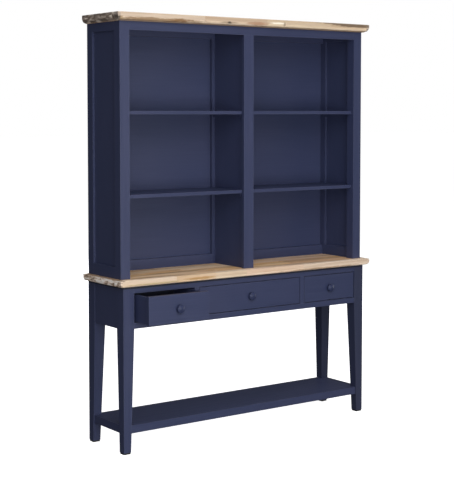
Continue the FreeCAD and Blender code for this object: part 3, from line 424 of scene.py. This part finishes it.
# painted shade: the two right legs are darker, standing in for the light falling off towards the right
LEG_PAINTED_SHADE = {
    "leg_front_right": navy("z", 0.66, "front_leg_navy_painted_shade", gloss=0.64),
    "leg_back_right": navy("z", 0.55, "back_leg_navy_painted_shade", gloss=0.45),
}
PLAIN = plain_wood("z")
top_low, top_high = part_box("table_top")
cap_low, cap_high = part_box("hutch_top")
TABLE_WOOD = staves(
    "light_staves_table", "x", 0.054, top_low.y,
    [(0.34, (0.19, 0.130, 0.100)), (0.43, (0.60, 0.47, 0.38)), (0.50, (0.90, 0.76, 0.66)), (0.58, (0.97, 0.93, 0.89))],
    front=(
        0.030,
        [
            (-0.715, (0.95, 0.750, 0.560)),
            (-0.428, (0.86, 0.620, 0.390)),
            (-0.215, (0.90, 0.720, 0.520)),
            (-0.042, (0.95, 0.710, 0.530)),
            (0.295, (0.97, 0.790, 0.620)),
        ],
    ),
    marks=(
        ((-0.300, top_low.y, 0.7445), (0.085, 0.030, 0.0070), (0.42, 0.230, 0.080), 0.85),
        # partly a streak in the wood and partly painted shade: darkens the ovolo below the fascia where the overhang
        # shades it
        ((-0.550, top_low.y, 0.7400), (0.170, 0.030, 0.0040), (0.50, 0.380, 0.170), 0.70),
        ((0.120, top_low.y, 0.7470), (0.140, 0.030, 0.0030), (0.55, 0.350, 0.220), 0.55),
        # partly a streak in the wood and partly painted shade: darkens the ovolo below the fascia where the overhang
        # shades it
        ((0.430, top_low.y + 0.008, 0.7375), (0.300, 0.030, 0.0048), (0.42, 0.270, 0.150), 0.80),
        ((-0.520, top_low.y + 0.040, 0.7620), (0.210, 0.017, 0.0100), (0.33, 0.205, 0.115), 0.80),
        ((-0.470, top_low.y + 0.082, 0.7620), (0.230, 0.016, 0.0100), (0.80, 0.640, 0.440), 0.60),
        ((-0.330, top_low.y + 0.125, 0.7620), (0.190, 0.013, 0.0100), (0.33, 0.210, 0.120), 0.75),
        ((-0.560, top_low.y + 0.190, 0.7620), (0.160, 0.018, 0.0100), (0.72, 0.560, 0.370), 0.55),
        ((-0.380, top_low.y + 0.262, 0.7620), (0.260, 0.014, 0.0100), (0.42, 0.270, 0.140), 0.60),
        ((0.280, top_low.y + 0.050, 0.7620), (0.240, 0.018, 0.0100), (0.60, 0.385, 0.255), 0.70),
        ((0.170, top_low.y + 0.095, 0.7620), (0.120, 0.012, 0.0100), (0.82, 0.640, 0.400), 0.75),
        ((0.450, top_low.y + 0.128, 0.7620), (0.260, 0.010, 0.0100), (0.45, 0.290, 0.190), 0.60),
        ((0.350, top_low.y + 0.205, 0.7620), (0.420, 0.030, 0.0100), (0.92, 0.660, 0.490), 0.75),
        ((0.420, top_low.y + 0.270, 0.7620), (0.330, 0.022, 0.0100), (0.90, 0.640, 0.480), 0.75),
        ((0.330, top_low.y + 0.040, 0.7620), (0.300, 0.012, 0.0100), (0.40, 0.260, 0.160), 0.65),
        ((-0.300, top_low.y + 0.225, 0.7620), (0.360, 0.020, 0.0100), (0.90, 0.720, 0.530), 0.65),
        ((-0.704, top_low.y + 0.190, 0.7625), (0.016, 0.300, 0.0050), (0.26, 0.170, 0.110), 0.85),
        ((-0.714, top_low.y + 0.235, 0.7480), (0.020, 0.013, 0.0085), (0.060, 0.042, 0.030), 0.95),
        ((-0.714, top_low.y + 0.130, 0.7430), (0.020, 0.016, 0.0065), (0.110, 0.080, 0.060), 0.85),
    ),
    moulded=top_high.x - 0.0105,
    shade=0.95,
)
CAP_WOOD = staves(
    "light_staves_hutch", "x", 0.051, cap_low.y,
    [(0.38, (0.075, 0.062, 0.056)), (0.49, (0.23, 0.190, 0.170)), (0.56, (0.40, 0.340, 0.300)), (0.64, (0.74, 0.68, 0.59))],
    front=(
        0.034,
        [
            (-0.715, (0.75, 0.605, 0.470)),
            (-0.265, (0.70, 0.545, 0.400)),
            (0.084, (0.77, 0.615, 0.430)),
            (0.470, (0.76, 0.580, 0.395)),
        ],
    ),
    marks=(
        ((-0.510, cap_low.y + 0.006, 1.8830), (0.235, 0.030, 0.0095), (0.30, 0.185, 0.095), 0.90),
        ((-0.400, cap_low.y + 0.004, 1.8850), (0.060, 0.030, 0.0075), (0.24, 0.130, 0.056), 0.85),
        ((-0.128, cap_low.y + 0.004, 1.8870), (0.055, 0.020, 0.0050), (0.34, 0.240, 0.160), 0.70),
        ((-0.128, cap_low.y + 0.004, 1.8870), (0.013, 0.012, 0.0055), (0.075, 0.052, 0.036), 0.95),
        ((0.035, cap_low.y, 1.8880), (0.060, 0.030, 0.0090), (0.40, 0.215, 0.125), 0.80),
        ((0.150, cap_low.y, 1.8940), (0.045, 0.030, 0.0055), (0.93, 0.850, 0.700), 0.90),
        ((0.187, cap_low.y, 1.8910), (0.007, 0.030, 0.0120), (0.30, 0.210, 0.140), 0.70),
        ((0.600, cap_low.y, 1.9070), (0.210, 0.060, 0.0065), (0.16, 0.110, 0.070), 0.90),
        ((0.620, cap_low.y, 1.8990), (0.140, 0.030, 0.0055), (0.15, 0.098, 0.058), 0.92),
        ((-0.705, cap_low.y + 0.016, 1.8850), (0.030, 0.024, 0.0110), (0.34, 0.215, 0.090), 0.85),
        # painted shade: a dark band along the cap's underside at the front, standing in for the shadow under the
        # moulding
        ((0.0, cap_low.y + 0.010, 1.8740), (4.000, 0.040, 0.0052), (0.20, 0.125, 0.075), 0.85),
    ),
    moulded=cap_high.x - 0.014,
    shade=0.86,
)
STEEL = zinc()
GLIDE = glide_plastic()

GRAIN = {
    "z": ("leg_", "post_", "centre_stile", "centre_divider", "centre_back_batten", "side_panel_", "drawer_dividers"),
    "y": ("side_apron_", "hutch_side_rails", "lower_shelf_end_rails", "drawer_sides", "shelf_cleats", "drawer_runners", "drawer_kickers", "drawer_stops"),
}


def grain_of(name):
    for axis, words in GRAIN.items():
        if any(word in name for word in words):
            return axis
    return "x"


def dress(name, material):
    mesh = nodes[name].data
    mesh.materials.clear()
    mesh.materials.append(material)
    for polygon in mesh.polygons:
        polygon.material_index = 0


for name in nodes:
    if name == "table_top":
        dress(name, TABLE_WOOD)
    elif name == "hutch_top":
        dress(name, CAP_WOOD)
    # painted shade: the riser strips under the top take the darker navy that stands in for the shade under the overhang
    elif name == "top_riser_strips":
        dress(name, INNER_PAINTED_SHADE["x"])
    elif name == "top_screws" or name.endswith("knob_screw"):
        dress(name, STEEL)
    elif name == "foot_glides":
        dress(name, GLIDE)
    elif name == "hutch_dowels":
        dress(name, PLAIN)
    # painted shade: the knobs take the darker knob navy
    elif name.endswith("drawer_knob"):
        dress(name, KNOB_PAINTED_SHADE)
    # painted shade: the right legs take their darker navy
    elif name in LEG_PAINTED_SHADE:
        dress(name, LEG_PAINTED_SHADE[name])
    # painted shade: the drawer insides and the parts inside the case take the darker navy that stands in for shade
    elif name.endswith(("drawer_back", "drawer_bottom", "drawer_runners", "drawer_kickers", "drawer_stops")):
        dress(name, INNER_PAINTED_SHADE[grain_of(name)])
    else:
        dress(name, NAVY[grain_of(name)])

# ------------------------------------------------------------------ eased edges
SOFT_EDGE = {
    "table_top": 0.0014,
    "hutch_top": 0.0014,
    "top_riser_strips": 0.0006,
}
for name, obj in nodes.items():
    if name.endswith(("knob", "knob_screw")) or name in ("top_screws", "foot_glides", "hutch_dowels", "drawer_kickers"):
        continue
    bevel = obj.modifiers.new("eased_edges", "BEVEL")
    bevel.width = SOFT_EDGE.get(name, 0.0010)
    bevel.segments = 2
    bevel.limit_method = "ANGLE"
    bevel.angle_limit = math.radians(40)
    bevel.harden_normals = True
    bevel.use_clamp_overlap = True

# ------------------------------------------------------------------ floor, light, camera
BACK_AMBIENT = 0.07
FRONT_AMBIENT = 0.215
floor_mesh = bpy.data.meshes.new("floor")
half = 60.0
floor_mesh.from_pydata(
    [(-half, -half, 0.0), (half, -half, 0.0), (half, half, 0.0), (-half, half, 0.0)], [], [(0, 1, 2, 3)]
)
floor = bpy.data.objects.new("floor", floor_mesh)
scene.collection.objects.link(floor)
net = Net("pale_floor")
net.shader(
    Base_Color=(0.80, 0.80, 0.80, 1.0),
    Roughness=0.9,
    Specular_IOR_Level=0.0,
    Emission_Color=(1.0, 1.0, 1.0, 1.0),
    Emission_Strength=0.91,
)
floor_mesh.materials.append(net.material)
# the light that the floor throws up comes from the world's lower half, so the floor itself adds none
floor.visible_diffuse = False
floor.visible_glossy = False

world = bpy.data.worlds.new("studio")
scene.world = world
world.use_nodes = True
tree = world.node_tree
tree.nodes.clear()
output = tree.nodes.new("ShaderNodeOutputWorld")
seen = tree.nodes.new("ShaderNodeBackground")
seen.inputs[0].default_value = (1.0, 1.0, 1.0, 1.0)
seen.inputs[1].default_value = 1.0
# the studio is brighter in front of the piece and under it than behind it
ambient = tree.nodes.new("ShaderNodeBackground")
ambient.inputs[0].default_value = (1.0, 0.995, 0.99, 1.0)
direction = tree.nodes.new("ShaderNodeTexCoord")
parts = tree.nodes.new("ShaderNodeSeparateXYZ")
tree.links.new(direction.outputs["Generated"], parts.inputs[0])
facing = tree.nodes.new("ShaderNodeMapRange")
facing.interpolation_type = "SMOOTHSTEP"
facing.inputs["From Min"].default_value = 0.5
facing.inputs["From Max"].default_value = -0.9
facing.inputs["To Min"].default_value = BACK_AMBIENT
facing.inputs["To Max"].default_value = FRONT_AMBIENT
tree.links.new(parts.outputs[1], facing.inputs["Value"])
tree.links.new(facing.outputs[0], ambient.inputs[1])
path = tree.nodes.new("ShaderNodeLightPath")
choose = tree.nodes.new("ShaderNodeMixShader")
tree.links.new(path.outputs["Is Camera Ray"], choose.inputs[0])
tree.links.new(ambient.outputs[0], choose.inputs[1])
tree.links.new(seen.outputs[0], choose.inputs[2])
tree.links.new(choose.outputs[0], output.inputs[0])


def softbox(name, at, aim, wide, high, power):
    lamp = bpy.data.lights.new(name, "AREA")
    lamp.shape = "RECTANGLE"
    lamp.size = wide
    lamp.size_y = high
    lamp.energy = power
    made = bpy.data.objects.new(name, lamp)
    scene.collection.objects.link(made)
    made.location = at
    made.rotation_mode = "QUATERNION"
    made.rotation_quaternion = (Vector(aim) - Vector(at)).to_track_quat("-Z", "Y")
    made.visible_camera = False
    return made


softbox("front", (-2.2, -4.0, 2.0), (0.0, 0.0, 1.1), 4.5, 3.6, 44.0)
softbox("high", (-1.5, -3.6, 3.6), (0.0, 0.0, 1.0), 4.0, 2.5, 84.0)
softbox("low", (-1.2, -4.5, 0.9), (0.0, 0.0, 0.8), 4.0, 1.6, 109.0)
softbox("top", (0.0, -1.2, 6.0), (0.0, 0.0, 0.0), 4.0, 3.0, 77.0)
softbox("left", (-5.5, -3.2, 1.3), (0.0, 0.0, 1.0), 2.5, 2.5, 34.0)
softbox("right", (6.5, 0.6, 1.4), (0.0, 0.0, 1.0), 3.0, 2.5, 160.0)
softbox("behind", (0.4, 6.8, 1.5), (0.0, 0.0, 1.0), 2.6, 2.5, 240.0).visible_glossy = False

camera_data = bpy.data.cameras.new("camera")
camera = bpy.data.objects.new("camera", camera_data)
scene.collection.objects.link(camera)
scene.camera = camera
camera_data.sensor_fit = "VERTICAL"
camera_data.sensor_width = 36.0 * 454 / 500
camera_data.sensor_height = 36.0
camera_data.lens = 89.391
camera_data.shift_y = -0.130
camera_data.clip_start = 0.1
camera_data.clip_end = 300.0
camera.location = (-3.44321, -4.68691 + 0.05675, 1.48484)
camera.rotation_euler = (math.radians(90 - 3.3672), 0.0, math.radians(-36.0072))

scene.view_settings.view_transform = "Standard"
scene.view_settings.look = "None"
scene.view_settings.exposure = 0.0
scene.view_settings.gamma = 1.0
